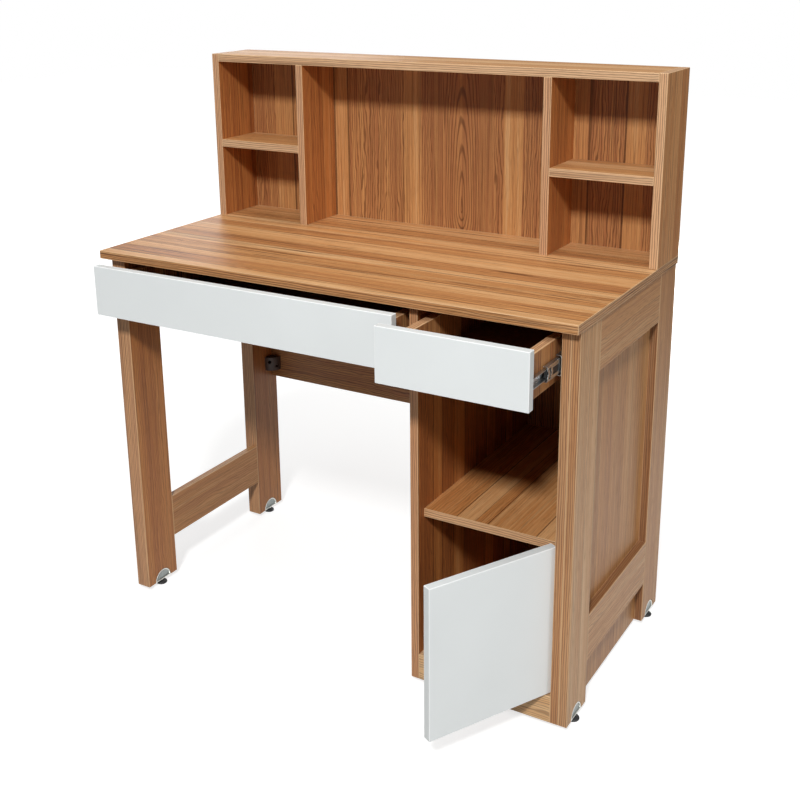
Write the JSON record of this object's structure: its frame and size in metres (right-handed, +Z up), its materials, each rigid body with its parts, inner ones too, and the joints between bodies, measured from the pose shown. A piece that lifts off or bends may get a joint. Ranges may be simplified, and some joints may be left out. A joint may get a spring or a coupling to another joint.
{
  "type": "student desk with hutch",
  "caption": "Student desk with hutch: a board top on a leg frame and a pedestal, with sliding drawers, a hinged cabinet door, levelling feet and shelved bays above the top.",
  "frame": {"origin": "on the floor under the middle of the desktop", "axes": "+X to the user's right, +Y to the back, +Z up"},
  "size_m": [1.004, 0.6957, 1.1],
  "materials": {
    "walnut_board": "satin walnut melamine",
    "white_melamine": "satin white melamine",
    "hardboard": "matt brown hardboard",
    "beech_dowel": "turned beech",
    "zinc_steel": "bright zinc plate",
    "nickel_steel": "nickel plate",
    "screw_steel": "zinc plate",
    "silver_housing": "satin silver",
    "black_retainer": "black moulded",
    "brown_plastic": "brown moulded",
    "foot_plastic": "black moulded"
  },
  "bodies": {
    "desk": {"corner_block_screws": "screw_steel", "corner_blocks": "brown_plastic", "desktop": "walnut_board", "dowels": "beech_dowel", "foot_housings": "silver_housing", "hinge_arms": "nickel_steel", "hinge_plate_screws": "screw_steel", "hinge_plates": "nickel_steel", "hutch_back": "walnut_board", "hutch_divider_left": "walnut_board", "hutch_divider_right": "walnut_board", "hutch_shelf_left": "walnut_board", "hutch_shelf_right": "walnut_board", "hutch_side_left": "walnut_board", "hutch_side_right": "walnut_board", "hutch_top": "walnut_board", "left_stretcher": "walnut_board", "left_top_rail": "walnut_board", "leg_front_left": "walnut_board", "leg_rear_left": "walnut_board", "modesty_panel": "walnut_board", "pedestal_back": "walnut_board", "pedestal_bottom": "walnut_board", "pedestal_panel_left": "walnut_board", "pedestal_panel_right": "walnut_board", "pedestal_shelf": "walnut_board", "plinth": "walnut_board", "right_bottom_rail": "walnut_board", "right_post_front": "walnut_board", "right_post_rear": "walnut_board", "right_top_rail": "walnut_board", "slide_cabinet_members": "zinc_steel"},
    "door": {"door": "white_melamine", "hinge_cup_screws": "screw_steel", "hinge_cups": "nickel_steel", "hinge_pins": "nickel_steel"},
    "foot_front_left": {"foot_pad_front_left": "foot_plastic", "foot_stem_front_left": "screw_steel"},
    "foot_front_right": {"foot_pad_front_right": "foot_plastic", "foot_stem_front_right": "screw_steel"},
    "foot_rear_left": {"foot_pad_rear_left": "foot_plastic", "foot_stem_rear_left": "screw_steel"},
    "foot_rear_right": {"foot_pad_rear_right": "foot_plastic", "foot_stem_rear_right": "screw_steel"},
    "left_drawer": {"left_drawer_back": "walnut_board", "left_drawer_bottom": "hardboard", "left_drawer_front": "white_melamine", "left_drawer_side_left": "walnut_board", "left_drawer_side_right": "walnut_board", "left_slide_drawer_members": "zinc_steel"},
    "left_slide_middle": {"left_slide_ball_retainers": "black_retainer", "left_slide_middle_members": "zinc_steel"},
    "right_drawer": {"right_drawer_back": "walnut_board", "right_drawer_bottom": "hardboard", "right_drawer_front": "white_melamine", "right_drawer_side_left": "walnut_board", "right_drawer_side_right": "walnut_board", "right_slide_drawer_members": "zinc_steel"},
    "right_slide_middle": {"right_slide_ball_retainers": "black_retainer", "right_slide_middle_members": "zinc_steel"}
  },
  "joints": [
    {"name": "left_drawer_slide", "type": "slide", "parent": "desk", "child": "left_drawer", "axis": [0, -1, 0], "range_m": [-0.04, 0.34]},
    {"name": "left_slide_middle_slide", "type": "slide", "parent": "desk", "child": "left_slide_middle", "axis": [0, -1, 0], "range_m": [-0.02, 0.17]},
    {"name": "right_drawer_slide", "type": "slide", "parent": "desk", "child": "right_drawer", "axis": [0, -1, 0], "range_m": [-0.1, 0.28]},
    {"name": "right_slide_middle_slide", "type": "slide", "parent": "desk", "child": "right_slide_middle", "axis": [0, -1, 0], "range_m": [-0.05, 0.14]},
    {"name": "door_hinge", "type": "hinge", "parent": "desk", "child": "door", "pos_m": [0.45372, -0.2248, 0.206], "axis": [0, 0, 1], "range_deg": [-62, 33]},
    {"name": "foot_front_left_screw", "type": "slide", "parent": "desk", "child": "foot_front_left", "axis": [0, 0, -1], "range_m": [-0.003, 0.005]},
    {"name": "foot_rear_left_screw", "type": "slide", "parent": "desk", "child": "foot_rear_left", "axis": [0, 0, -1], "range_m": [-0.003, 0.005]},
    {"name": "foot_front_right_screw", "type": "slide", "parent": "desk", "child": "foot_front_right", "axis": [0, 0, -1], "range_m": [-0.003, 0.005]},
    {"name": "foot_rear_right_screw", "type": "slide", "parent": "desk", "child": "foot_rear_right", "axis": [0, 0, -1], "range_m": [-0.003, 0.005]}
  ],
  "couplings": [
    {"joint": "left_slide_middle_slide", "follows": "left_drawer_slide", "ratio": 0.5},
    {"joint": "right_slide_middle_slide", "follows": "right_drawer_slide", "ratio": 0.5}
  ]
}
